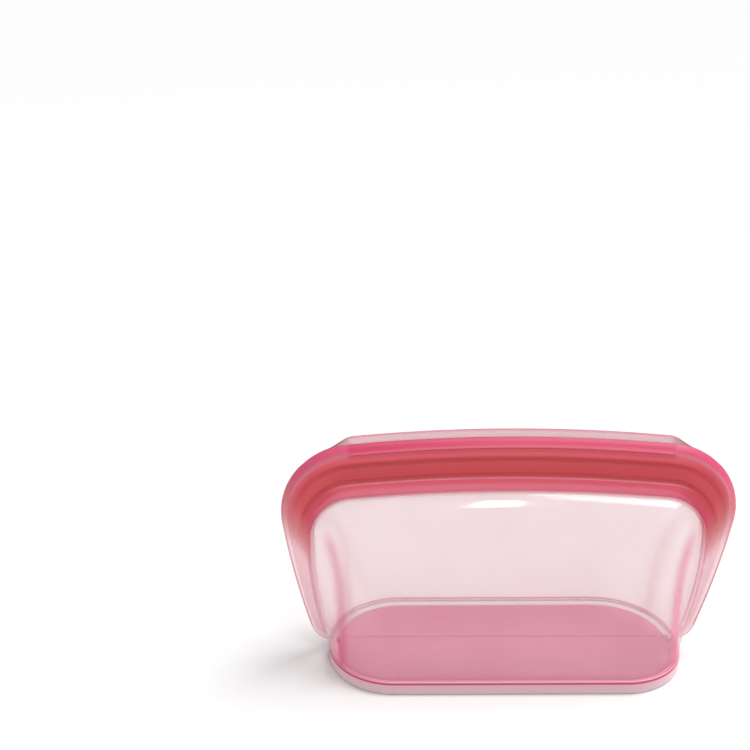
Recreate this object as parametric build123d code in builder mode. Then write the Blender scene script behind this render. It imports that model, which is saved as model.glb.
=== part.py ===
"""A stand-up reusable silicone bag: two moulded halves, front and back, bonded round
their side flanges and along the middle of the base. A rib-and-groove seal closes the
mouth, and a pull tab stands above it on each half.

The frame: +X along the mouth, -Y to the front, +Z up, origin on the resting plane
under the middle of the base. The parting plane between the two halves is Y = 0.
All lengths are millimetres.

Each half is one moulding. It is divided here where the silicone flexes: the panel that
swings open (wall, seal strip and pull tab) and the rest, which stays.
"""
from build123d import *
import math
import os

# ---- overall sizes ----
bag_width = 190.0          # rim to rim, across the flanges
base_length = 152.0        # along X
base_depth = 66.0          # front to back
base_corner_radius = 27.0
rim_height = 4.5           # foot rim
pouch_height = 78.0        # from the resting plane to the bottom of the seal band
seal_height = 18.0
tab_height = 6.0           # front pull tab, at the middle of the mouth
back_tab_rise = 3.4        # how far the back pull tab stands above the front one

# ---- thicknesses, each of one half ----
wall = 1.6
band_thickness = 3.2       # the seal band and its corners
flange_thickness = 2.0
tab_thickness = 1.6
floor_thickness = 2.6
rim_width = 3.6            # foot rim, seen from below

# ---- the outline of flange, shoulder and crown ----
shoulder_radius = 30.7
crown_rise = 3.3           # the crown's middle above the top of the shoulders
flange_at_foot = 6.0       # the flange's width beside the foot rim
foot_radius = 6.0          # the flange's lower corner
corner_drop = 14.0         # the flange thickens into the seal corner this far below the band

# ---- the pouch's sections ----
belly_share = 0.5          # the belly section's place between the foot rim and the widest one
belly_fullness = 0.65      # how much of the side's flare the belly has reached
flange_at_widest = 9.0     # the flange's width where the pouch is widest
neck_drop = 16.0           # the pouch is widest this far below the seal band
mouth_inset = 24.0         # from the rim in to the pouch, right under the seal band
neck_share = 0.62          # the neck section's place between the widest one and the mouth
neck_bulge = 5.0           # how far the neck stands outside a straight line there
band_step = 0.4            # the seal band stands out this much from the wall below it
corner_share = 0.9         # a section's corners take at most this much of its half depth

# ---- the moving panels ----
panel_inset = 29.0         # from the rim in to the panel that swings open, at the seal
panel_foot_inset = 10.0    # from the end of the base in to that panel, at the foot rim
flex_gap = 0.3             # between what swings and what stays
hinge_gap = 0.6            # under the panel's lower edge

# ---- the seal ----
seal_gap = 0.15            # from the parting plane to each seal face
rib_radius = 1.1
groove_clearance = 0.2
rib_offsets = (7.8, 15.0)  # each rib's middle, above the bottom of the band
tab_corner_radius = 1.8
tab_corner_share = 0.7     # that radius takes at most this much of the tab's height at its ends

# ---- the bonds between the two halves ----
side_bond_half = 0.2       # half the thickness of the bonded layer in the flanges
base_bond_half = 0.7       # half the width of the bond line across the base
base_bond_bead = 0.6       # how far that line stands above the floor
floor_clearance = 1.0      # under the floor's edges
floor_rise = 2.5           # the floor climbs this much from its edges to the bond line

# ---- sizes that follow ----
seal_top = pouch_height + seal_height
crown_height = seal_top + tab_height
corner_height = pouch_height - corner_drop
floor_length = base_length - 2 * rim_width
floor_depth = base_depth - 2 * rim_width
floor_corner_radius = base_corner_radius - rim_width
beyond = 2 * bag_width     # further than any piece goes

# Each half has a plane that faces outwards, and a plane for its cross-sections, on which
# the first axis runs outwards from the parting plane and the second one upwards.
halves = {
    "front": (Plane.front, Plane.left),
    "back": (Plane.back, Plane.right),
}
sides = {"right": Plane.right, "left": Plane.left}


def panel_region(gap):
    """What swings open, seen from the front and wider by a gap, as a solid right through.

    Its sides run straight from the foot rim to the seal band, and upright above that.
    """
    foot_x = base_length / 2 - panel_foot_inset + gap
    seal_x = bag_width / 2 - panel_inset + gap
    with BuildPart() as region:
        with BuildSketch(Plane.XZ):
            with BuildLine():
                right = Polyline((foot_x, 0), (foot_x, rim_height), (seal_x, pouch_height), (seal_x, beyond))
                left = mirror(about=Plane.YZ)
                Line(right @ 0, left @ 0)
                Line(right @ 1, left @ 1)
            make_face()
        extrude(amount=beyond, both=True)
    return region.part


def flange_outline():
    """The bag's outline in front view, closed along the top of the foot rim.

    Each side is a straight line tangent to the shoulder arc, and the crown is one arc
    tangent to both shoulders. The line's lean and the crown's radius follow from that.
    """
    foot_x = base_length / 2 + flange_at_foot
    shoulder_x = bag_width / 2 - shoulder_radius
    shoulder_z = crown_height - crown_rise - shoulder_radius
    foot_to_shoulder = math.hypot(shoulder_x - foot_x, shoulder_z - rim_height)
    lean = math.atan2(shoulder_x - foot_x, shoulder_z - rim_height)
    lean += math.asin(shoulder_radius / foot_to_shoulder)
    side_length = math.sqrt(foot_to_shoulder**2 - shoulder_radius**2)
    side_end = (foot_x + side_length * math.sin(lean), rim_height + side_length * math.cos(lean))
    rise = crown_rise + shoulder_radius
    crown_radius = (shoulder_x**2 + rise**2 - shoulder_radius**2) / (2 * crown_rise)
    crown_angle = math.degrees(math.asin(shoulder_x / (crown_radius - shoulder_radius)))
    with BuildSketch() as outline:
        with BuildLine():
            side = Line((foot_x, rim_height), side_end)
            turn = 90 + math.degrees(lean) - crown_angle
            shoulder = JernArc(side @ 1, side % 1, shoulder_radius, turn)
            mirror(about=Plane.YZ)
            end = shoulder @ 1
            ThreePointArc((-end.X, end.Y), (0, crown_height), (end.X, end.Y))
            Line((-foot_x, rim_height), (foot_x, rim_height))
        make_face()
        fillet(outline.vertices().sort_by(Axis.Y)[:2], foot_radius)
    return outline.sketch


def pouch(inset):
    """The pouch as a solid, from the foot rim to the seal band, inset by a wall thickness."""
    widest_height = pouch_height - neck_drop
    belly_height = rim_height + belly_share * (widest_height - rim_height)
    widest_half_width = bag_width / 2 - flange_at_widest
    belly_half_width = base_length / 2 + belly_fullness * (widest_half_width - base_length / 2)
    mouth_half_width = bag_width / 2 - mouth_inset
    neck_height = widest_height + neck_share * neck_drop
    neck_half_width = widest_half_width + neck_share * (mouth_half_width - widest_half_width)
    base_half_depth = base_depth / 2
    mouth_half_depth = band_thickness - band_step
    sections = (
        (rim_height, base_length / 2),
        (belly_height, belly_half_width),
        (widest_height, widest_half_width),
        (neck_height, neck_half_width + neck_bulge),
        (pouch_height, mouth_half_width),
    )
    with BuildPart() as body:
        for height, half_width in sections:
            climb = (height - rim_height) / (pouch_height - rim_height)
            half_depth = base_half_depth + climb * (mouth_half_depth - base_half_depth) - inset
            corner = min(base_corner_radius - inset, corner_share * half_depth)
            with BuildSketch(Plane.XY.offset(height)):
                RectangleRounded(2 * (half_width - inset), 2 * half_depth, corner)
        loft()
    return body.part


os.makedirs("parts", exist_ok=True)
outline = flange_outline()
pouch_solid = pouch(0)
pouch_cavity = pouch(wall)
swinging = panel_region(0)
swing_clearance = panel_region(flex_gap)

with BuildPart() as pouch_shell:
    add(pouch_solid)
    add(pouch_cavity, mode=Mode.SUBTRACT)

# ---- the base, half by half ----
for half, (facing, section) in halves.items():
    with BuildPart() as foot_rim:
        with BuildSketch():
            RectangleRounded(base_length, base_depth, base_corner_radius)
            RectangleRounded(floor_length, floor_depth, floor_corner_radius, mode=Mode.SUBTRACT)
        extrude(amount=rim_height)
        split(bisect_by=facing.offset(base_bond_half), keep=Keep.TOP)
    foot_rim.part.label = f"foot_rim_{half}"
    export_step(foot_rim.part, f"parts/{foot_rim.part.label}.step")

    # The floor climbs from the rim to the bond line, so the bag stands on its rim alone.
    with BuildPart() as floor:
        with BuildSketch(section):
            with BuildLine():
                Polyline(
                    (floor_depth / 2, floor_clearance),
                    (floor_depth / 2, floor_clearance + floor_thickness),
                    (base_bond_half, floor_clearance + floor_rise + floor_thickness),
                    (base_bond_half, floor_clearance + floor_rise),
                    close=True,
                )
            make_face()
        extrude(amount=floor_length / 2, both=True)
        with BuildSketch():
            RectangleRounded(floor_length, floor_depth, floor_corner_radius)
        extrude(amount=beyond, mode=Mode.INTERSECT)
    floor.part.label = f"floor_{half}"
    export_step(floor.part, f"parts/{floor.part.label}.step")

# ---- the bond line across the base ----
bond_bottom = floor_clearance + floor_rise
bond_height = floor_thickness + base_bond_bead
with BuildPart() as base_bond:
    with BuildSketch(Plane.XZ):
        Rectangle(base_length, rim_height, align=(Align.CENTER, Align.MIN))
        Rectangle(floor_length, bond_bottom, align=(Align.CENTER, Align.MIN), mode=Mode.SUBTRACT)
        with Locations((0, bond_bottom)):
            Rectangle(floor_length, bond_height, align=(Align.CENTER, Align.MIN))
    extrude(amount=base_bond_half, both=True)
base_bond.part.label = "base_bond"
export_step(base_bond.part, "parts/base_bond.step")

# ---- the sides, which stay ----
for side, outward in sides.items():
    # The thin bonded layer between the front and back halves, from the foot to the crown.
    with BuildPart() as side_bond:
        with BuildSketch(Plane.XZ):
            add(outline)
        extrude(amount=side_bond_half, both=True)
        split(bisect_by=outward, keep=Keep.TOP)
        add(swing_clearance, mode=Mode.SUBTRACT)
        add(pouch_cavity, mode=Mode.SUBTRACT)
    side_bond.part.label = f"side_bond_{side}"
    export_step(side_bond.part, f"parts/{side_bond.part.label}.step")

    for half, (facing, section) in halves.items():
        # The flat margin outside the pouch, from the foot rim to the seal corner.
        with BuildPart() as side_flange:
            with BuildSketch(facing):
                add(outline)
            extrude(amount=flange_thickness)
            split(bisect_by=facing.offset(side_bond_half), keep=Keep.TOP)
            split(bisect_by=outward, keep=Keep.TOP)
            split(bisect_by=Plane.XY.offset(corner_height), keep=Keep.BOTTOM)
            add(pouch_solid, mode=Mode.SUBTRACT)
        side_flange.part.label = f"side_flange_{half}_{side}"
        export_step(side_flange.part, f"parts/{side_flange.part.label}.step")

        # The shoulder, where the seal band ends and turns down into the flange.
        with BuildPart() as seal_corner:
            with BuildSketch(facing):
                add(outline)
            extrude(amount=band_thickness)
            add(pouch_solid, mode=Mode.SUBTRACT)
            add(swing_clearance, mode=Mode.SUBTRACT)
            split(bisect_by=Plane.XY.offset(corner_height), keep=Keep.TOP)
            split(bisect_by=outward, keep=Keep.TOP)
            split(bisect_by=facing.offset(side_bond_half), keep=Keep.TOP)
        seal_corner.part.label = f"seal_corner_{half}_{side}"
        export_step(seal_corner.part, f"parts/{seal_corner.part.label}.step")

        # The curved side of the pouch, from the flange round to the panel's edge.
        with BuildPart() as side_gusset:
            add(pouch_shell.part)
            add(swing_clearance, mode=Mode.SUBTRACT)
            split(bisect_by=facing.offset(side_bond_half), keep=Keep.TOP)
            split(bisect_by=outward, keep=Keep.TOP)
        side_gusset.part.label = f"side_gusset_{half}_{side}"
        export_step(side_gusset.part, f"parts/{side_gusset.part.label}.step")

# ---- the two panels that swing open ----
for half, (facing, section) in halves.items():
    with BuildPart() as panel_wall:
        add(pouch_shell.part)
        split(bisect_by=facing, keep=Keep.TOP)
        split(bisect_by=Plane.XY.offset(rim_height + hinge_gap), keep=Keep.TOP)
        add(swinging, mode=Mode.INTERSECT)
    panel_wall.part.label = f"{half}_wall"
    export_step(panel_wall.part, f"parts/{panel_wall.part.label}.step")

    # The front half of the seal has two grooves, and the back half two ribs to fit them.
    with BuildPart() as seal_strip:
        with BuildSketch(section):
            with Locations((seal_gap, pouch_height)):
                Rectangle(band_thickness - seal_gap, seal_height, align=Align.MIN)
            with Locations(*[(seal_gap, pouch_height + offset) for offset in rib_offsets]):
                if half == "front":
                    Circle(rib_radius + groove_clearance, mode=Mode.SUBTRACT)
                else:
                    Circle(rib_radius)
        extrude(amount=beyond, both=True)
        add(swinging, mode=Mode.INTERSECT)
    seal_strip.part.label = f"{half}_seal_strip"
    export_step(seal_strip.part, f"parts/{seal_strip.part.label}.step")

    # A thin lip above the seal, with its top parallel to the crown.
    tab_rise = back_tab_rise if half == "back" else 0
    with BuildPart() as pull_tab:
        with BuildSketch(facing.offset(seal_gap)):
            with Locations((0, tab_rise)):
                add(outline)
        extrude(amount=tab_thickness)
        split(bisect_by=Plane.XY.offset(seal_top), keep=Keep.TOP)
        add(swinging, mode=Mode.INTERSECT)
        end_height = tab_height + tab_rise - crown_rise
        top_corners = pull_tab.edges().filter_by(Axis.Y).sort_by(Axis.Z)[-2:]
        fillet(top_corners, min(tab_corner_radius, tab_corner_share * end_height))
    pull_tab.part.label = f"{half}_pull_tab"
    export_step(pull_tab.part, f"parts/{pull_tab.part.label}.step")
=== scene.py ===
# %% [markdown]
# # A stand-up silicone bag
#
# The bag is two silicone mouldings, front and back, bonded to each other down their side
# flanges and along the middle of the base. The mouth stays free: a seal band with two
# ribs and grooves closes it, and a pull tab stands above the band on each half.
#
# The CAD model gives the sizes, the bodies and the joints. Here the plain CAD solids are
# replaced by smooth surfaces worked out with numpy, because a moulding in soft silicone
# has no hard joins between its wall, its band and its flange.

# %% Load the frame
from math import radians

import bpy
import numpy as np
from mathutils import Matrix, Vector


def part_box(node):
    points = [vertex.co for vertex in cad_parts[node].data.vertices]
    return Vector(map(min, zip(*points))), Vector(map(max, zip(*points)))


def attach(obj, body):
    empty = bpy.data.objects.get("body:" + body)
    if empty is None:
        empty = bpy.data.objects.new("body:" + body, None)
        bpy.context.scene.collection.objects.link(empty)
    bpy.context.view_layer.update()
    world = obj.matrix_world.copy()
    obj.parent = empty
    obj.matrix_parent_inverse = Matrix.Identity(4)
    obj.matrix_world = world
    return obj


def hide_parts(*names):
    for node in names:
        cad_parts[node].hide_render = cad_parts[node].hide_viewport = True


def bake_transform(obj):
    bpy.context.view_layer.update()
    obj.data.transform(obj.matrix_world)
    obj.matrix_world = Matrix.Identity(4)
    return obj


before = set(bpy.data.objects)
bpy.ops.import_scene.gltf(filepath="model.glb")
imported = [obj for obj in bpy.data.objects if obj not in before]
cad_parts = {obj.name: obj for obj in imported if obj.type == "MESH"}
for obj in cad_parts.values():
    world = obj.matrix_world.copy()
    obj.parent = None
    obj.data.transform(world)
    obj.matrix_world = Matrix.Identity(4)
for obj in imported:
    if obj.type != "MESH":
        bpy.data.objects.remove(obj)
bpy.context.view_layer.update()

mm = 0.001
crown_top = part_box("front_pull_tab")[1].z / mm
back_tab_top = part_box("back_pull_tab")[1].z / mm
band_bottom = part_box("front_seal_strip")[0].z / mm
band_thickness = -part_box("front_seal_strip")[0].y / mm
rim_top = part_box("foot_rim_front")[1].z / mm
base_half_depth = -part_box("foot_rim_front")[0].y / mm
base_half_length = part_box("foot_rim_front")[1].x / mm
print("crown", crown_top, "band", band_bottom, "base", base_half_length, base_half_depth)

# %% [markdown]
# ## Paths that bend as they go
#
# Three lines in space decide the shape of each quarter of the bag: the rim outside, the
# lower edge of the seal band, and the edge of the base. A maker would describe each one
# by walking along it: so far straight, then so far while turning so many degrees. A
# running sum turns that description into points, and the bends join without a kink.

# %% Walk along a path
def bent_path(start, pieces, samples=4001):
    """Returns the distance walked and the points of a plane path given as (length, turn).

    The heading starts along the first axis and grows evenly by each turn over its length.
    The place is the start plus the running sum of (cosine, sine) of the heading.
    """
    lengths, turns = np.array(pieces, float).T
    ends = np.concatenate([[0], np.cumsum(lengths)])
    headings = np.radians(np.concatenate([[0], np.cumsum(turns)]))
    walked = np.linspace(0, ends[-1], samples)
    heading = np.interp((walked[1:] + walked[:-1]) / 2, ends, headings)
    steps = np.diff(walked)[:, None] * np.stack([np.cos(heading), np.sin(heading)], 1)
    points = np.array(start, float) + np.concatenate([[[0, 0]], np.cumsum(steps, 0)])
    return walked, points


def places(path, distance):
    """The points of a path at the given distances along it, by straight interpolation."""
    walked, points = path
    return np.stack([np.interp(distance, walked, points[:, i]) for i in (0, 1)], -1)


def smoothstep(low, high, value):
    """0 below low, 1 above high, and 3t^2 - 2t^3 between them."""
    t = np.clip((value - low) / (high - low), 0, 1)
    return t * t * (3 - 2 * t)


def bump(value, middle, half_width):
    """A bell, exp(-((value - middle) / half_width)^2)."""
    return np.exp(-(((value - middle) / half_width) ** 2))


def eased(share, knots, values, reach=0.05):
    """Straight runs through the (knot, value) pairs, rounded by averaging over +-reach."""
    knots, values = np.array(knots, float), np.array(values, float)
    before = values[0] - (values[1] - values[0]) / (knots[1] - knots[0])
    after = values[-1] + (values[-1] - values[-2]) / (knots[-1] - knots[-2])
    knots = np.concatenate([[knots[0] - 1], knots, [knots[-1] + 1]])
    values = np.concatenate([[before], values, [after]])
    around = np.asarray(share)[..., None] + np.linspace(-reach, reach, 21)
    return np.interp(around, knots, values).mean(-1)

# %% [markdown]
# ## The three guiding lines
#
# Each runs from the middle of the bag to the foot of its side, so one set does for left
# and right. The rim goes along the crown, round the shoulder and down the flange. The
# band's lower edge runs inside it and becomes the flange's inner edge. The base's edge
# lies flat: the back one has rounder corners, because that half slumps more.

# %% Rim, band edge and base edge
rim_line = bent_path((0, crown_top), [(67, -5.9), (50.5, -92.5), (52.5, -8.5), (10, -62)])
band_line = bent_path((0, band_bottom + 1.2), [(66, -5.6), (27.5, -82), (48, -18)])
base_lines = {
    "front": bent_path((0, -base_half_depth), [(48, 0), (42.4, 90), (5, 0)]),
    "back": bent_path((0, -base_half_depth + 1.5), [(43.5, 0), (49.5, 90), (0.3, 0)]),
}
turning_points = [0, 0.42, 0.66, 1]
rim_knots = [0, 67, 117.5, 179.5]
band_knots = [0, 66, 93.5, 140.5]
base_knots = {"front": [0, 57.5, 85, 94.8], "back": [0, 55.5, 83, 92.8]}
columns = np.linspace(0, 1, 151)


def guide_lines(half):
    """Rim and band edge as (x, z), and base edge as (x, -y), at every column."""
    rim = places(rim_line, eased(columns, turning_points, rim_knots))
    band = places(band_line, eased(columns, turning_points, band_knots))
    base = places(base_lines[half], eased(columns, turning_points, base_knots[half]))
    rim[0, 0] = band[0, 0] = base[0, 0] = 0
    return rim, band, base


for name, line in zip(("rim", "band edge", "base edge"), guide_lines("front")):
    print(name, "ends at", line[-1].round(1), "widest", line[:, 0].max().round(1))

# %% [markdown]
# ## The relief of the band
#
# Across the band, from the rim inwards, the real moulding has a sloping lip, a small
# recess under it, two shallow grooves where the ribs sit behind, and a fine bead. At the
# shoulders the lip becomes a low bead, and down the side all of it sinks into the plain
# flange, which is thinner.

# %% Thickness of one half, outside the parting plane
rib_places = (0.37, 0.675)
flange_thickness = 2.0
parting_gap = 0.15
tab_ends = (66, 67.6)


def band_relief(across, width, x, along, half):
    """How far the face stands from the parting plane, in mm.

    The lip rises as a quarter sine over 3.2 mm. Bells add the lip's edge and the bead,
    and take away the recess and the two grooves. A smoothstep along the band turns all
    that into a flange with a rounded edge.
    """
    inward = across * width
    tab = 1 - smoothstep(*tab_ends, np.abs(x))
    fade = 1 - smoothstep(0.60, 0.74, along)
    slope = np.sin(np.pi / 2 * np.clip(inward / 3.2, 0, 1))
    face = band_thickness * (0.15 + 0.85 * slope)
    face = face + 0.8 * tab * bump(inward, 3.0, 0.7)
    face = face + 0.4 * (1 - tab) * bump(inward, 3.6, 0.7)
    face = face - 0.55 * tab * bump(inward, 4.5, 0.6)
    for place in rib_places:
        face = face - 0.35 * fade * bump(across, place, 0.035)
    face = face + 0.3 * (1 - smoothstep(0.42, 0.52, along)) * bump(across, 0.75, 0.018)
    if half == "back":
        plain_tab = 1.75 * (0.3 + 0.7 * np.sin(np.pi / 2 * np.clip(inward / 1.2, 0, 1)))
        lower = smoothstep(0.17, 0.20, across)
        face = face + (plain_tab - face) * tab * (1 - lower)
    edge = np.sqrt(1 - (1 - np.clip(inward / 1.6, 0, 1)) ** 2)
    flange = flange_thickness * (0.12 + 0.88 * edge)
    turning = smoothstep(0.62, 0.84, along)
    return face + (flange - face) * turning


def parting_face(across, along, half):
    """The face against the other half: flat, with round grooves in front, ribs behind."""
    fade = 1 - smoothstep(0.5, 0.6, along)
    ribs = sum(
        np.sqrt(np.clip(1 - ((across - place) / 0.046) ** 2, 0, None)) for place in rib_places
    )
    return parting_gap + fade * ribs * (1.25 if half == "front" else -1.0)

# %% [markdown]
# ## One quarter of the bag as a thick sheet
#
# A row runs down the moulding: from the rim across the band, then down the wall to the
# base. The wall is a straight rule from the band's edge to the base's edge, and just
# under the band it swells outwards in a small ledge. At the corner it stays upright for
# a while and then flares, which makes the soft crease beside the front panel.

# %% The outer and the inner surface
wall_thickness = 1.6
band_rows = np.linspace(0, 1, 73)
wall_rows = np.linspace(0, 1, 57)[1:] ** 1.5
back_rise = back_tab_top - crown_top
ledge_height, ledge_reach, belly_height = 5.6, 4.0, 1.4


def quarter(half):
    """Outer and inner surface of a right-hand quarter, as rows x columns x 3, in mm.

    Band rows go straight from rim to band edge. Wall rows go from the band edge (share 0)
    to the base edge (share 1), and the ledge is its height times tanh(distance / reach).
    The inner wall is the outer one moved inwards along its normal by the wall's thickness.
    """
    rim, band, base = guide_lines(half)
    along = columns[None, :]
    across = band_rows[:, None]
    width = np.hypot(*(rim - band).T)[None, :]
    x = rim[:, 0] + (band[:, 0] - rim[:, 0]) * across
    z = rim[:, 1] + (band[:, 1] - rim[:, 1]) * across
    if half == "back":
        rise = back_rise * (1 - smoothstep(65, 75.2, x))
        z = z + rise * np.clip(1 - across / 0.2, 0, 1)
    y = band_relief(across, width, x, along, half)
    band_outer = np.stack([x, y, z], -1)
    band_inner = np.stack([x, parting_face(across, along, half), z], -1)

    share = wall_rows[:, None]
    height = np.hypot(band[:, 1] - rim_top, band[:, 0] - base[:, 0])[None, :]
    flare = 1 + 3.2 * bump(along, 0.565, 0.07)
    x = base[:, 0] + (band[:, 0] - base[:, 0]) * (1 - share) ** flare
    z = band[:, 1] + (rim_top + 0.6 - band[:, 1]) * share
    ledge = ledge_height * (1 - 0.6 * smoothstep(0.5, 0.7, along)) * np.clip(height / 30, 0, 1)
    ledge = ledge * np.tanh(share * height / ledge_reach) * (1 - share) ** 1.3
    belly = belly_height * np.sin(np.pi * share) * np.clip(height / 40, 0, 1)
    depth = np.maximum(-base[:, 1], 1.0)
    y = band_outer[-1, :, 1] + (depth - band_outer[-1, :, 1]) * share + ledge + belly
    outer = np.concatenate([band_outer, np.stack([x, y, z], -1)])

    normal = np.cross(np.gradient(outer, axis=1), np.gradient(outer, axis=0))
    normal = normal / np.maximum(np.linalg.norm(normal, axis=-1, keepdims=True), 1e-9)
    inner = outer - wall_thickness * normal
    inner[..., 1] = np.maximum(inner[..., 1], parting_gap)
    inner[: len(band_rows)] = band_inner
    inner[:, 0, 0] = 0
    return outer, inner


for half in ("front", "back"):
    outer, inner = quarter(half)
    print(half, "quarter", outer.shape, outer.min((0, 1)).round(1), outer.max((0, 1)).round(1))

# %% [markdown]
# ## From surfaces to closed meshes
#
# The two surfaces are joined along their edges into one closed skin. Its ends can have a
# material of their own: where two quarters meet at the middle of the bag nothing is
# there on the real one, so those ends are clear.

# %% Join an outer and an inner surface
def thick_sheet(name, outer, inner, materials, clear_start=False, **measures):
    """A closed mesh from two grids of the same shape, with the given point attributes.

    Quads cover both grids and the four strips between their borders. The sign of the
    volume, the sum of p . (q x r) over the triangles, says if the faces point outwards.
    """
    rows, cols = outer.shape[:2]
    points = np.concatenate([outer.reshape(-1, 3), inner.reshape(-1, 3)]) * mm
    number = np.arange(2 * rows * cols).reshape(2, rows, cols)
    out, inn = number

    def quads(a, b, c, d):
        return np.stack([a.ravel(), b.ravel(), c.ravel(), d.ravel()], 1)

    faces = [
        quads(out[:-1, :-1], out[:-1, 1:], out[1:, 1:], out[1:, :-1]),
        quads(inn[:-1, :-1], inn[1:, :-1], inn[1:, 1:], inn[:-1, 1:]),
        quads(out[0, :-1], inn[0, :-1], inn[0, 1:], out[0, 1:]),
        quads(out[-1, :-1], out[-1, 1:], inn[-1, 1:], inn[-1, :-1]),
        quads(out[:-1, -1], inn[:-1, -1], inn[1:, -1], out[1:, -1]),
        quads(out[:-1, 0], out[1:, 0], inn[1:, 0], inn[:-1, 0]),
    ]
    start_faces = len(faces[-1])
    faces = np.concatenate(faces)
    p, q, r, s = (points[faces[:, i]] for i in range(4))
    volume = np.einsum("ij,ij->i", p, np.cross(q, r) + np.cross(r, s)).sum() / 6
    if volume < 0:
        faces = faces[:, ::-1]
    mesh = bpy.data.meshes.new(name)
    mesh.from_pydata(points, [], faces)
    mesh.validate()
    smooth = np.ones(len(mesh.polygons), bool)
    if clear_start:
        smooth[-start_faces:] = False
        ends = np.zeros(2 * len(mesh.edges), np.int32)
        mesh.edges.foreach_get("vertices", ends)
        at_start = (ends.reshape(-1, 2) % cols == 0).all(1)
        mesh.edges.foreach_set("use_edge_sharp", at_start)
        slots = np.zeros(len(mesh.polygons), np.int32)
        slots[-start_faces:] = 1
        mesh.polygons.foreach_set("material_index", slots)
    mesh.polygons.foreach_set("use_smooth", smooth)
    for measure, grid in measures.items():
        layer = mesh.attributes.new(measure, "FLOAT", "POINT")
        values = np.broadcast_to(grid, (2, rows, cols)).astype(np.float32)
        layer.data.foreach_set("value", values.ravel())
    mesh.update()
    piece = bpy.data.objects.new(name, mesh)
    bpy.context.scene.collection.objects.link(piece)
    for material in materials:
        mesh.materials.append(material)
    print(f"{name}: {len(mesh.vertices)} points, {abs(volume) * 1e6:.2f} cm3")
    return piece

# %% [markdown]
# ## The colour of silicone
#
# One pigment in one clear rubber gives every tone of this bag: the wall is thin and
# nearly clear, the band is two thick plies and a deep rose red. So a tone is set by the
# colour wanted when the plies lie over white, and by how much of the white shows
# through. The pigment follows from those two.

# %% Pigments
def linear(code):
    """A colour written as six hexadecimal digits, as linear light."""
    s = np.array([int(code[i : i + 2], 16) for i in (0, 2, 4)]) / 255
    return np.where(s <= 0.04045, s / 12.92, ((s + 0.055) / 1.055) ** 2.4)


def pigment(code, cover):
    """The pigment that shows as the coded colour when it covers that share of white.

    Seen = cover x pigment + (1 - cover), solved for the pigment.
    """
    return tuple(np.clip((linear(code) - (1 - cover)) / cover, 0.01, 1)) + (1.0,)


print("wall pigment", np.round(pigment("f6dade", 0.42), 3))

# %% Small helpers for node trees
def node(tree, kind, at=(0, 0), **settings):
    """A new node of that kind with its settings."""
    made = tree.nodes.new(kind)
    made.location = at
    for key, value in settings.items():
        setattr(made, key, value)
    return made


def feed(tree, made, values):
    """Gives the numbered inputs of a node a socket to read, or a plain value."""
    for number, value in values.items():
        if isinstance(value, bpy.types.NodeSocket):
            tree.links.new(value, made.inputs[number])
        else:
            made.inputs[number].default_value = value


def math_node(tree, operation, *values, clamp=False):
    """A Math node fed with sockets or numbers; returns its output."""
    made = node(tree, "ShaderNodeMath", operation=operation, use_clamp=clamp)
    feed(tree, made, dict(enumerate(values)))
    return made.outputs[0]


def times(tree, first, second):
    """The product of two values."""
    return math_node(tree, "MULTIPLY", first, second)


def rest_of(tree, value):
    """One minus a value."""
    return math_node(tree, "SUBTRACT", 1.0, value)


def mix_colour(tree, factor, first, second):
    """A Mix node for colours; returns its output."""
    made = node(tree, "ShaderNodeMix", data_type="RGBA")
    feed(tree, made, {0: factor, 6: first, 7: second})
    return made.outputs[2]


def mix_value(tree, factor, first, second):
    """A Mix node for numbers; returns its output."""
    made = node(tree, "ShaderNodeMix", data_type="FLOAT")
    feed(tree, made, {0: factor, 2: first, 3: second})
    return made.outputs[0]


# %% Ramps, steps, lines and noise
def ramp(tree, factor, stops):
    """A colour ramp through (place, colour) stops; returns its colour output."""
    made = node(tree, "ShaderNodeValToRGB")
    elements = made.color_ramp.elements
    while len(elements) < len(stops):
        elements.new(0.5)
    for element, (place, colour) in zip(elements, stops):
        element.position = place
        element.color = colour
    tree.links.new(factor, made.inputs[0])
    return made.outputs[0]


def soft_step(tree, value, low, high):
    """A Map Range node that goes smoothly from 0 to 1 between low and high."""
    made = node(tree, "ShaderNodeMapRange", interpolation_type="SMOOTHSTEP")
    tree.links.new(value, made.inputs["Value"])
    made.inputs["From Min"].default_value = low
    made.inputs["From Max"].default_value = high
    return made.outputs["Result"]


def line_at(tree, value, middle, half_width):
    """Nodes for a bell, exp(-((value - middle) / half_width)^2)."""
    away = math_node(tree, "DIVIDE", math_node(tree, "SUBTRACT", value, middle), half_width)
    return math_node(tree, "EXPONENT", times(tree, times(tree, away, away), -1.0))


def noise(tree, place, scale, detail=2.0):
    """A Noise Texture on object coordinates; returns its value."""
    made = node(tree, "ShaderNodeTexNoise")
    made.inputs["Scale"].default_value = scale
    made.inputs["Detail"].default_value = detail
    tree.links.new(place, made.inputs["Vector"])
    return made.outputs["Fac"]


def measure(tree, name):
    """What a stored point attribute says; returns an Attribute node's number."""
    return node(tree, "ShaderNodeAttribute", attribute_name=name).outputs["Fac"]

# %% [markdown]
# ## Groups for the tones
#
# The mouldings, the base and the bond lines need the same things: a pigment, the cover of
# one surface and a height for the fine grain. A node group works them out, with inputs of
# its own, so one group serves two materials that differ in a few values. The sockets are
# made in one place.

# %% A new group
def tone(code, cover=0.95):
    """A stop's colour: the pigment for a place where the plies cover that much."""
    return pigment(code, cover)


def new_group(name, inputs, outputs):
    """A group with sockets given as {name: kind}; returns it with its two end nodes."""
    group = bpy.data.node_groups.new(name, "ShaderNodeTree")
    for way, sockets in (("INPUT", inputs), ("OUTPUT", outputs)):
        for label, kind in sockets.items():
            group.interface.new_socket(label, in_out=way, socket_type=f"NodeSocket{kind}")
    return group, node(group, "NodeGroupInput"), node(group, "NodeGroupOutput")


def give(group, result, **values):
    """Links each value to the group's output of that name."""
    for label, value in values.items():
        group.links.new(value, result.inputs[label])


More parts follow.
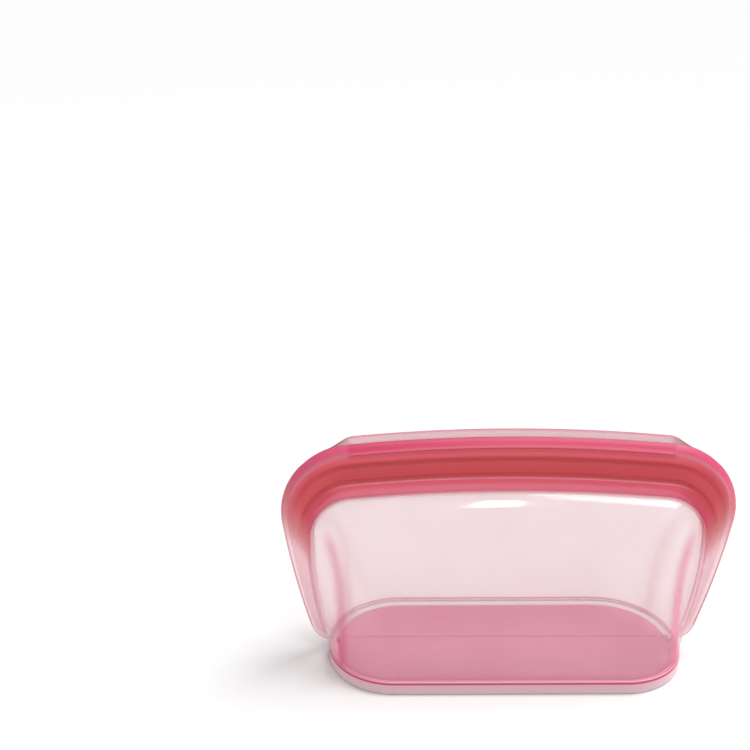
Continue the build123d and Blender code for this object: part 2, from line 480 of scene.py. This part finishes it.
plain_outputs = {"Colour": "Color", "Cover": "Float", "Height": "Float"}
print("every group puts out", ", ".join(plain_outputs))

# %% [markdown]
# ## The moulding's tones
#
# Four measures are stored on every point: how far it lies across the moulding (0 at the
# rim, 1 at the band's edge, 2 at the base), how far along from the middle to the foot, if
# it is on the inner face, and if it is on the tab. Across the band the tones change with
# the relief: darker in the recess and the grooves, which is painted shade, and lighter on
# the bead, a painted highlight. At the corners they soften.

# %% Tones across the band, with painted shade and a painted highlight
# The dark stops at the recess (0.165) and the grooves (0.35 to 0.39, 0.655 to 0.695) are painted
# shade; the light stop at 0.75 is a painted highlight on the bead.
band_tones_and_painted_light = [
    (0.00, "d6587a"), (0.145, "d6587a"), (0.165, "bc3a50"), (0.20, "f66a78"),
    (0.30, "f05e6e"), (0.35, "cc3c4a"), (0.39, "cc3c4a"), (0.43, "dc4a56"),
    (0.62, "dc4a56"), (0.655, "c83a46"), (0.695, "c83a46"), (0.73, "e05c6c"),
    (0.75, "f09aa8"), (0.77, "ee6276"), (0.95, "f05e7c"), (1.00, "d8406a"),
]
# The darker stops near 0.36 and 0.68 are painted shade in the grooves at the corners.
corner_tones_and_painted_light = [
    (0.18, "ea6474"), (0.30, "e2505e"), (0.36, "d84a56"), (0.46, "e2545f"), (0.62, "e0525d"),
    (0.68, "cc3e4a"), (0.76, "dc4c5a"), (0.93, "e0526c"), (1.00, "da486e"),
]
flange_tones = [
    (0.00, tone("f8ccd4", 0.55)), (0.20, tone("f5bcc6", 0.55)), (0.76, tone("f5bcc6", 0.55)),
    (0.88, tone("f3a4c2", 0.75)), (1.00, tone("f3a4c2", 0.75)),
]


def band_colour_and_painted_light(tree, across, along):
    """The band's tones, with painted shade and highlights, in the middle of the bag, which pass
    into those of its corners.
    """
    middle, corner = (
        ramp(tree, across, [(place, tone(code)) for place, code in stops])
        for stops in (band_tones_and_painted_light, corner_tones_and_painted_light)
    )
    return mix_colour(tree, soft_step(tree, along, 0.42, 0.52), middle, corner)


print("band tones:", len(band_tones_and_painted_light), "corner tones:", len(corner_tones_and_painted_light))

# %% [markdown]
# The lip lies over the band. On the tab it has a lighter edge, a painted highlight. On the
# shoulders it is a deeper pink with a low bead inside it, on which a light line is a painted
# highlight. Down the side the deep tones fade, first to a salmon and then to the pale
# flange, a little earlier at the inner edge.

# %% The lip, the shoulder and the flange
def over_the_lip(tree, given, band, across, lip):
    """Lays the tab's or the shoulder's tones over the band, with a painted highlight on the tab's
    lip edge and on the shoulder's bead; lip is their mask.
    """
    on_tab = measure(tree, "tab")
    shoulder = rest_of(tree, on_tab)
    rim_tone = mix_colour(tree, shoulder, given.outputs["Tab Colour"], tone("e05c7e"))
    band = mix_colour(tree, lip, band, rim_tone)
    # The lighter edge of the lip on the tab is a painted highlight.
    edge = times(tree, soft_step(tree, across, 0.10, 0.13), lip)
    edge = times(tree, edge, times(tree, on_tab, 0.85))
    band = mix_colour(tree, edge, band, given.outputs["Lip Highlight Colour"])
    # The light line on the shoulder's bead is a painted highlight.
    bead = times(tree, line_at(tree, across, 0.155, 0.042), times(tree, shoulder, 0.9))
    return mix_colour(tree, bead, band, tone("e88296"))


def down_the_side(tree, across, along):
    """Two masks, of where the band turns salmon and of where it has become the flange."""
    later = math_node(tree, "MULTIPLY_ADD", across, -0.08, along)
    return soft_step(tree, later, 0.52, 0.63), soft_step(tree, later, 0.61, 0.71)

# %% [markdown]
# The wall is nearly clear, with a slight cloud in it. It is pinker in the soft crease
# beside the front panel and along its foot, because there one looks through more rubber.

# %% The wall
def wall_colour(tree, place, crease, foot):
    """A slow noise between two pale pinks, then the crease and the foot."""
    wall = ramp(tree, noise(tree, place, 38, 3), [
        (0.30, pigment("f6dade", 0.42)),
        (0.70, pigment("fbe6e9", 0.42)),
    ])
    wall = mix_colour(tree, times(tree, crease, 0.8), wall, tone("f08eb0", 0.75))
    return mix_colour(tree, foot, wall, tone("ec8fae", 0.8))


def wall_lines(tree, given, across, along):
    """Masks of the crease and of the foot, as strong as Lines says."""
    crease = times(tree, line_at(tree, along, 0.568, 0.03), given.outputs["Lines"])
    crease = times(tree, crease, soft_step(tree, across, 1.0, 1.2))
    foot = times(tree, soft_step(tree, across, 1.93, 2.0), given.outputs["Lines"])
    return crease, foot

# %% [markdown]
# Cover is the share that one surface hides. The faces between the two plies of the band
# get little light, so they cover less and the outer ones more.

# %% Cover of one surface
def side_cover(tree, given, across, lip, to_corner, to_flange):
    """The band's cover, less on the tab, the corner and the flange, and least inside."""
    cover = mix_value(tree, lip, 0.74, given.outputs["Tab Cover"])
    cover = math_node(tree, "MULTIPLY_ADD", to_corner, -0.24, cover)
    cover = math_node(tree, "MULTIPLY_ADD", to_flange, -0.29, cover)
    inner_line = times(tree, soft_step(tree, across, 0.80, 0.92), to_flange)
    cover = math_node(tree, "MULTIPLY_ADD", inner_line, 0.2, cover)
    return times(tree, cover, math_node(tree, "MULTIPLY_ADD", measure(tree, "inside"), -0.62, 1.0))


def wall_cover(tree, given, crease, foot):
    """The wall's cover, and more in its crease and foot."""
    cover = math_node(tree, "MULTIPLY_ADD", crease, 0.17, given.outputs["Wall Cover"])
    return math_node(tree, "MULTIPLY_ADD", foot, 0.12, cover)

# %% The moulding's group
def build_half_group():
    """Node group: pigment with painted shade and highlights, cover, height and satin, from the
    four measures.
    """
    group, given, result = new_group(
        "moulding_tones",
        {
            "Wall Cover": "Float", "Tab Cover": "Float", "Lines": "Float",
            "Tab Colour": "Color", "Lip Highlight Colour": "Color",
        },
        {**plain_outputs, "Satin": "Float"},
    )
    across, along = measure(group, "across"), measure(group, "along")
    place = node(group, "ShaderNodeTexCoord").outputs["Object"]
    lip = rest_of(group, soft_step(group, across, 0.135, 0.155))
    to_corner, to_flange = down_the_side(group, across, along)
    crease, foot = wall_lines(group, given, across, along)
    side = over_the_lip(group, given, band_colour_and_painted_light(group, across, along), across, lip)
    side = mix_colour(group, to_corner, side, tone("e68a90", 0.8))
    side = mix_colour(group, to_flange, side, ramp(group, across, flange_tones))
    on_wall = soft_step(group, across, 1.0, 1.012)
    cover = mix_value(
        group, on_wall,
        side_cover(group, given, across, lip, to_corner, to_flange),
        wall_cover(group, given, crease, foot),
    )
    give(
        group, result,
        Colour=mix_colour(group, on_wall, side, wall_colour(group, place, crease, foot)),
        Cover=cover,
        Height=noise(group, place, 700),
        Satin=math_node(group, "MULTIPLY_ADD", on_wall, -0.33, 0.42),
    )
    return group


half_group = build_half_group()
print("group", half_group.name, len(half_group.nodes), "nodes")

# %% [markdown]
# ## The silicone shader
#
# Light that crosses a thin sheet aslant goes through more rubber, so the cover grows
# with the angle: one minus the clear share to the power of one over the cosine. Layer
# Weight gives that cosine. A satin gloss lies over it, weak when seen straight on and
# stronger at a glance.

# %% A silicone material around a group
def silicone(name, group, values, gloss=0.04, glance=0.16, satin=None):
    """Pigment and cover come from the group; the depth law and the gloss are added here.

    Satin is the gloss's roughness, where it is the same all over. Otherwise the group's is
    read.
    """
    material = bpy.data.materials.new(name)
    material.use_nodes = True
    tree = material.node_tree
    tree.nodes.clear()
    tones = node(tree, "ShaderNodeGroup", (-800, 0), node_tree=group)
    for key, value in values.items():
        tones.inputs[key].default_value = value
    facing = node(tree, "ShaderNodeLayerWeight", (-800, 300)).outputs["Facing"]
    cosine = math_node(tree, "MAXIMUM", rest_of(tree, facing), 0.27)
    clear = rest_of(tree, tones.outputs["Cover"])
    clear = math_node(tree, "POWER", clear, math_node(tree, "DIVIDE", 1.0, cosine))
    cover = math_node(tree, "SUBTRACT", 1.0, clear, clamp=True)
    relief = node(tree, "ShaderNodeBump", (-300, -300))
    relief.inputs["Strength"].default_value = 0.25
    relief.inputs["Distance"].default_value = 0.05 * mm
    tree.links.new(tones.outputs["Height"], relief.inputs["Height"])
    rubber = node(tree, "ShaderNodeBsdfPrincipled", (0, 0))
    rubber.inputs["Roughness"].default_value = 0.5
    rubber.inputs["IOR"].default_value = 1.41
    rubber.inputs["Specular IOR Level"].default_value = 0.2
    tree.links.new(tones.outputs["Colour"], rubber.inputs["Base Color"])
    tree.links.new(cover, rubber.inputs["Alpha"])
    tree.links.new(relief.outputs[0], rubber.inputs["Normal"])
    shine = node(tree, "ShaderNodeBsdfAnisotropic", (0, -400))
    if satin is None:
        tree.links.new(tones.outputs["Satin"], shine.inputs["Roughness"])
    else:
        shine.inputs["Roughness"].default_value = satin
    tree.links.new(relief.outputs[0], shine.inputs["Normal"])
    steep = math_node(tree, "POWER", facing, 4.0)
    amount = math_node(tree, "MULTIPLY_ADD", steep, glance, gloss)
    both = node(tree, "ShaderNodeMixShader", (300, 0))
    tree.links.new(amount, both.inputs[0])
    tree.links.new(rubber.outputs[0], both.inputs[1])
    tree.links.new(shine.outputs[0], both.inputs[2])
    output = node(tree, "ShaderNodeOutputMaterial", (500, 0))
    tree.links.new(both.outputs[0], output.inputs["Surface"])
    return material


front_silicone = silicone("front_silicone", half_group, {
    "Wall Cover": 0.084,
    "Tab Cover": 0.74,
    "Lines": 1.0,
    "Tab Colour": tone("da486c"),
    "Lip Highlight Colour": tone("ea8096"),
})
back_silicone = silicone("back_silicone", half_group, {
    "Wall Cover": 0.084,
    "Tab Cover": 0.44,
    "Lines": 0.3,
    "Tab Colour": tone("f6bac8", 0.65),
    "Lip Highlight Colour": tone("f8d8e0", 0.65),
})

# %% Nothing to see where two quarters meet
clear_join = bpy.data.materials.new("clear_join")
clear_join.use_nodes = True
clear_join.node_tree.nodes.clear()
nothing = node(clear_join.node_tree, "ShaderNodeBsdfTransparent")
surface = node(clear_join.node_tree, "ShaderNodeOutputMaterial")
clear_join.node_tree.links.new(nothing.outputs[0], surface.inputs["Surface"])
print("materials", front_silicone.name, back_silicone.name, clear_join.name)

# %% [markdown]
# ## The four quarters
#
# The right half of the front moulding is the left half mirrored, and the back moulding
# differs only in its taller tab and rounder base. When the mouth is pulled open, the
# middle swings out and the bonded sides stay.

# %% Make the quarters
halves = {"front": (-1, front_silicone), "back": (1, back_silicone)}
sides = {"right": 1, "left": -1}
across = np.concatenate([band_rows, 1 + wall_rows])[:, None]

for half, (facing, finish) in halves.items():
    outer, inner = quarter(half)
    tab_share = 1 - smoothstep(*tab_ends, outer[0, :, 0])
    for side, direction in sides.items():
        flip = np.array([direction, facing, 1])
        piece = thick_sheet(
            f"{half}_moulding_{side}", outer * flip, inner * flip, [finish, clear_join],
            clear_start=True, across=across, along=columns[None, :],
            inside=np.array([0.0, 1.0])[:, None, None], tab=tab_share[None, :],
        )
        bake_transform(piece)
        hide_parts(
            f"{half}_wall", f"{half}_seal_strip", f"{half}_pull_tab",
            f"side_flange_{half}_{side}", f"seal_corner_{half}_{side}",
            f"side_gusset_{half}_{side}",
        )

# %% [markdown]
# ## The base
#
# Seen from inside, the base is a floor that climbs a little to the bond line across its
# middle. Its edge turns down into a foot rim, and the thick line where rim and wall meet
# shows as a deep rose line. One section is carried round the base's edge.

# %% A rounded run of points
def rounded_run(points, count=40, passes=3):
    """Points spaced evenly along a broken line, its corners rounded by averaging."""
    points = np.array(points, float)
    steps = np.concatenate([[0], np.cumsum(np.hypot(*np.diff(points, axis=0).T))])
    even = np.linspace(0, steps[-1], count)
    run = np.stack([np.interp(even, steps, points[:, i]) for i in (0, 1)], 1)
    for _ in range(passes):
        run[1:-1] = (run[:-2] + 2 * run[1:-1] + run[2:]) / 4
    return run


# Each point is (distance outside the base's edge, height above the table).
rim_outside = rounded_run([
    (-3.4, 3.7), (-2.4, 4.3), (-1.9, 5.4), (-1.0, 6.2), (0.2, 6.0), (0.5, 5.2), (0.2, 4.3),
    (0.2, 2.6), (0.4, 0.9), (0.1, 0.1), (-0.8, 0.0),
], 44)
rim_inside = rounded_run([(-3.7, 1.1), (-3.6, 0.5), (-3.2, 0.0), (-2.4, 0.0), (-1.6, 0.0)], 44)
floor_edge_height, floor_rise, floor_thickness = 3.7, 2.4, 2.6
seam_half = 0.1


def base_half(half):
    """Top and underside of half of the base, as rows x columns x 3.

    The outer rows carry the rim's section along the base's edge. The floor rows go from
    the seam to the rim, at a height that falls with the square of the distance from the
    seam and ends at the section's first point.
    """
    distance = np.linspace(0, base_lines[half][0][-1], 121)
    edge = places(base_lines[half], distance)
    slope = np.gradient(edge, axis=0)
    slope = slope / np.linalg.norm(slope, axis=1, keepdims=True)
    outward = np.stack([slope[:, 1], -slope[:, 0]], 1)
    share = np.linspace(0, 1, 24)[:, None]
    seam_reach = (base_half_length + rim_outside[0, 0]) * distance / distance[-1]
    seam = np.stack([seam_reach, 0 * distance - seam_half], 1)
    sheets = []
    for run, lift in ((rim_outside, 0), (rim_inside, -floor_thickness)):
        rim = edge[None] + outward[None] * run[:, None, :1]
        height = np.broadcast_to(run[:, None, 1:], rim.shape[:2] + (1,))
        rim = np.concatenate([rim, height], 2)
        flat = seam[None] + (rim[0, :, :2] - seam)[None] * share[..., None]
        rise = floor_rise * (1 - (flat[..., 1] / base_half_depth) ** 2)
        fall = (rim[0, 0, 2] - (floor_edge_height + lift)) * share**6
        floor = np.concatenate([flat, (floor_edge_height + lift + rise + fall)[..., None]], 2)
        floor[..., 2] = floor[..., 2] + (rim[0, :, 2] - floor[-1, :, 2]) * share**3
        sheet = np.concatenate([floor[:-1], rim])
        sheet[..., 1] = np.minimum(sheet[..., 1], -seam_half / 2)
        sheet[:, 0, 0] = 0
        sheets.append(sheet)
    return sheets


for half in ("front", "back"):
    top, under = base_half(half)
    print(half, "base", top.shape, top.min((0, 1)).round(1), top.max((0, 1)).round(1))

# %% [markdown]
# The base's tones follow its section: the rim is a dusty pink, the line where it meets the
# wall a deep rose, and the floor a flat rose between, with painted shade that darkens it
# towards the back. The back half is seen through two walls, and its rim is much clearer,
# with hardly a line.

# %% Tones of the base
def base_cover(tree, given, across, on_rim, line):
    """Floor, outer rim and inner rim have covers of their own. The line covers more, the
    underside less, and the ends of the halves, which meet under the bead, nothing."""
    inner_rim = times(tree, on_rim, rest_of(tree, soft_step(tree, across, 1.36, 1.44)))
    cover = mix_value(tree, on_rim, 0.66, given.outputs["Outer Rim Cover"])
    cover = mix_value(tree, inner_rim, cover, given.outputs["Inner Rim Cover"])
    under = measure(tree, "inside")
    cover = math_node(tree, "MULTIPLY_ADD", under, -0.45, cover, clamp=True)
    cover = math_node(tree, "MULTIPLY_ADD", line, 0.22, cover)
    return times(tree, cover, math_node(tree, "GREATER_THAN", across, 0.0001))


def build_base_group():
    """Node group: pigment, cover and height of the base, from across and object place, with
    painted shade towards the back of the floor.
    """
    colours = ("Floor Colour", "Rear Shade Colour", "Line Colour", "Rim Colour", "Foot Colour")
    covers = ("Inner Rim Cover", "Outer Rim Cover")
    group, given, result = new_group(
        "base_tones", {**dict.fromkeys(colours, "Color"), **dict.fromkeys(covers, "Float")},
        plain_outputs,
    )
    floor_colour, rear_shade_colour, line_colour, rim_colour, foot_colour = given.outputs[:5]
    across = measure(group, "across")
    place = node(group, "ShaderNodeTexCoord").outputs["Object"]
    apart = node(group, "ShaderNodeSeparateXYZ")
    group.links.new(place, apart.inputs[0])
    depth = base_half_depth * mm
    # The floor's colour passes to a darker one towards the back: painted shade.
    rear = soft_step(group, apart.outputs["Y"], -0.5 * depth, depth)
    floor = mix_colour(group, rear, floor_colour, rear_shade_colour)
    below = soft_step(group, apart.outputs["Z"], rim_top * mm, 0.4 * rim_top * mm)
    rim = mix_colour(group, below, rim_colour, foot_colour)
    on_rim = soft_step(group, across, 1.0, 1.05)
    line = line_at(group, across, 1.47, 0.055)
    give(
        group, result,
        Colour=mix_colour(group, line, mix_colour(group, on_rim, floor, rim), line_colour),
        Cover=base_cover(group, given, across, on_rim, line),
        Height=noise(group, place, 600),
    )
    return group


base_group = build_base_group()
print("group", base_group.name, len(base_group.nodes), "nodes")

# %% Materials of the base
front_base_tones = {
    "Floor Colour": tone("eab0c0", 0.8),
    "Rear Shade Colour": tone("e4b0be", 0.8),
    "Line Colour": tone("cf4273", 0.95),
    "Rim Colour": tone("fad4dc", 0.8),
    "Foot Colour": tone("f8dce2", 0.8),
    "Inner Rim Cover": 0.6,
    "Outer Rim Cover": 0.66,
}
back_base_tones = {
    **front_base_tones,
    "Line Colour": tone("eab4c0", 0.9),
    "Inner Rim Cover": 0.06,
    "Outer Rim Cover": 0.3,
}
base_silicones = {
    half: silicone(f"{half}_base_silicone", base_group, tones, gloss=0.02, satin=0.35)
    for half, tones in (("front", front_base_tones), ("back", back_base_tones))
}
print("materials", ", ".join(material.name for material in base_silicones.values()))

# %% Make and hang the base halves
base_across = np.concatenate([np.linspace(0, 1, 24)[:-1], np.linspace(1, 2, 44)])[:, None]
for half, (facing, _) in halves.items():
    top, under = base_half(half)
    both = []
    for sheet in (top, under):
        left = sheet[:, :0:-1] * np.array([-1, 1, 1])
        both.append(np.concatenate([left, sheet], 1) * np.array([1, -facing, 1]))
    piece = thick_sheet(
        f"base_{half}", *both, [base_silicones[half]],
        across=base_across, inside=np.array([0.0, 1.0])[:, None, None],
    )
    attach(piece, "pouch")
    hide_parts(f"foot_rim_{half}", f"floor_{half}")

# %% [markdown]
# ## The bond lines
#
# Across the base the two halves are bonded in a low bead. Down each side, where the
# flanges stay together, the bonded layer shows on the edge as a fine parting line. Both
# are round bars that follow a path and taper at their ends.

# %% A bar along a path
def bar(name, path, half_width, half_height, material):
    """A closed bar along points (n, 3): each section is an ellipse, and its size at share t
    of the length is the square root of 1 - (2t - 1)^16, so the ends close."""
    along = np.linspace(-1, 1, len(path))
    size = np.sqrt(np.clip(1 - np.abs(along) ** 16, 0.0, 1))[None, :, None]
    angle = np.linspace(0, np.pi, 13)[:, None, None]
    tangent = np.gradient(path, axis=0)
    tangent = tangent / np.linalg.norm(tangent, axis=1, keepdims=True)
    wide = np.array([0.0, 1.0, 0.0])
    high = np.cross(tangent, wide)
    sideways = half_width * np.cos(angle) * wide
    upwards = half_height * np.sin(angle) * high
    upper, lower = (path + size * (sideways + sign * upwards) for sign in (1, -1))
    return thick_sheet(name, upper, lower, [material], across=np.zeros((1, 1)))


# %% Tones of the bonds
def build_bond_group():
    """Node group: a rose with a slight change along the bead."""
    group, given, result = new_group(
        "bond_tones", {"Bond Colour": "Color", "Bond Cover": "Float"}, plain_outputs
    )
    cloud = noise(group, node(group, "ShaderNodeTexCoord").outputs["Object"], 90)
    lighter = times(group, cloud, 0.25)
    colour = mix_colour(group, lighter, given.outputs["Bond Colour"], tone("f0c4cf", 0.9))
    give(group, result, Colour=colour, Cover=given.outputs["Bond Cover"], Height=cloud)
    return group


bond_group = build_bond_group()
base_bond_silicone, side_bond_silicone = (
    silicone(name, bond_group, {"Bond Colour": colour, "Bond Cover": cover}, satin=0.4)
    for name, colour, cover in (
        ("base_bond_silicone", tone("d78fa4"), 0.9),
        ("side_bond_silicone", tone("d9809a", 0.9), 0.3),
    )
)
print("group", bond_group.name, len(bond_group.nodes), "nodes")

# %% The bead along the base
seam_x = np.linspace(-base_half_length + 1.5, base_half_length - 1.5, 121)
seam_z = floor_edge_height + floor_rise - 1.0 - 2.0 * smoothstep(66, 74.5, np.abs(seam_x))
seam_path = np.stack([seam_x, 0 * seam_x, seam_z], 1)
base_bond = bar("base_bond_bead", seam_path, 0.9, 1.5, base_bond_silicone)
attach(base_bond, "pouch")
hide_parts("base_bond")

# %% The lines down the sides
bonded_from, bonded_to = 88.0, 171.0
for side, direction in sides.items():
    edge = places(rim_line, np.linspace(bonded_from, bonded_to, 161))
    path = np.stack([direction * edge[:, 0], 0 * edge[:, 0], edge[:, 1]], 1)
    side_bond = bar(f"side_bond_line_{side}", path, 0.32, 0.32, side_bond_silicone)
    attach(side_bond, "pouch")
    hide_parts(f"side_bond_{side}")

# %% [markdown]
# ## Table, light and camera
#
# The table is a white sheet lit evenly, so a clear bag shows by what it takes from the
# light. Some of it comes from all round and more from a sun lamp with a wide angle, a
# little from the right, so the shadow is soft and falls to the left. A narrow box gives
# the small gleam on the ledge under the band. What the camera sees behind the table is
# plain white.

# %% Table
table_points = np.array([(-6, -6, 0), (6, -6, 0), (6, 6, 0), (-6, 6, 0)], float)
table_mesh = bpy.data.meshes.new("table")
table_mesh.from_pydata(table_points, [], [(0, 1, 2, 3)])
table = bpy.data.objects.new("table", table_mesh)
bpy.context.scene.collection.objects.link(table)
table_paint = bpy.data.materials.new("table_paint")
table_paint.use_nodes = True
paint = table_paint.node_tree.nodes["Principled BSDF"].inputs
paint["Base Color"].default_value = (0.79, 0.79, 0.79, 1)
paint["Roughness"].default_value = 0.9
paint["Specular IOR Level"].default_value = 0.1
table_mesh.materials.append(table_paint)
print("table", np.ptp(table_points, axis=0), "m")

# %% Light from all round
world = bpy.data.worlds.new("studio")
world.use_nodes = True
studio = world.node_tree
around = studio.nodes["Background"]
around.inputs["Color"].default_value = (1, 1, 1, 1)
around.inputs["Strength"].default_value = 0.52
white_wall = node(studio, "ShaderNodeBackground")
white_wall.inputs["Color"].default_value = (1, 1, 1, 1)
looking = node(studio, "ShaderNodeLightPath")
either = node(studio, "ShaderNodeMixShader")
studio.links.new(looking.outputs["Is Camera Ray"], either.inputs[0])
studio.links.new(around.outputs[0], either.inputs[1])
studio.links.new(white_wall.outputs[0], either.inputs[2])
studio.links.new(either.outputs[0], studio.nodes["World Output"].inputs["Surface"])
bpy.context.scene.world = world

# %% Lamps
sky = bpy.data.lights.new("ceiling", "SUN")
sky.energy = 2.62
sky.angle = radians(38)
gleam = bpy.data.lights.new("gleam_box", "AREA")
gleam.shape = "RECTANGLE"
gleam.size, gleam.size_y = 0.08, 0.36
gleam.energy = 1.3
for lamp, place, turn in (
    (sky, (0, 0, 0), (-10, 26, 0)),
    (gleam, (0.078, -0.36, 0.83), (26, 6, 0)),
):
    lamp_object = bpy.data.objects.new(lamp.name, lamp)
    lamp_object.location = place
    lamp_object.rotation_euler = [radians(angle) for angle in turn]
    bpy.context.scene.collection.objects.link(lamp_object)
    print(lamp.name, lamp.type, lamp.energy)

# %% Camera
camera_data = bpy.data.cameras.new("camera")
camera_data.sensor_width = 36
camera_data.lens = 55.6
camera_data.clip_start, camera_data.clip_end = 0.01, 30
camera = bpy.data.objects.new("camera", camera_data)
camera.location = (-58.5 * mm, -429.9 * mm, 298.6 * mm)
camera.rotation_euler = (radians(90 - 21.52), 0, radians(-0.35))
bpy.context.scene.collection.objects.link(camera)
bpy.context.scene.camera = camera
bpy.context.scene.view_settings.view_transform = "Standard"
# A look through the bag can cross more clear faces than the usual limit of eight.
bpy.context.scene.cycles.transparent_max_bounces = 24
print("camera", [round(v / mm, 1) for v in camera.location], "lens", camera_data.lens)
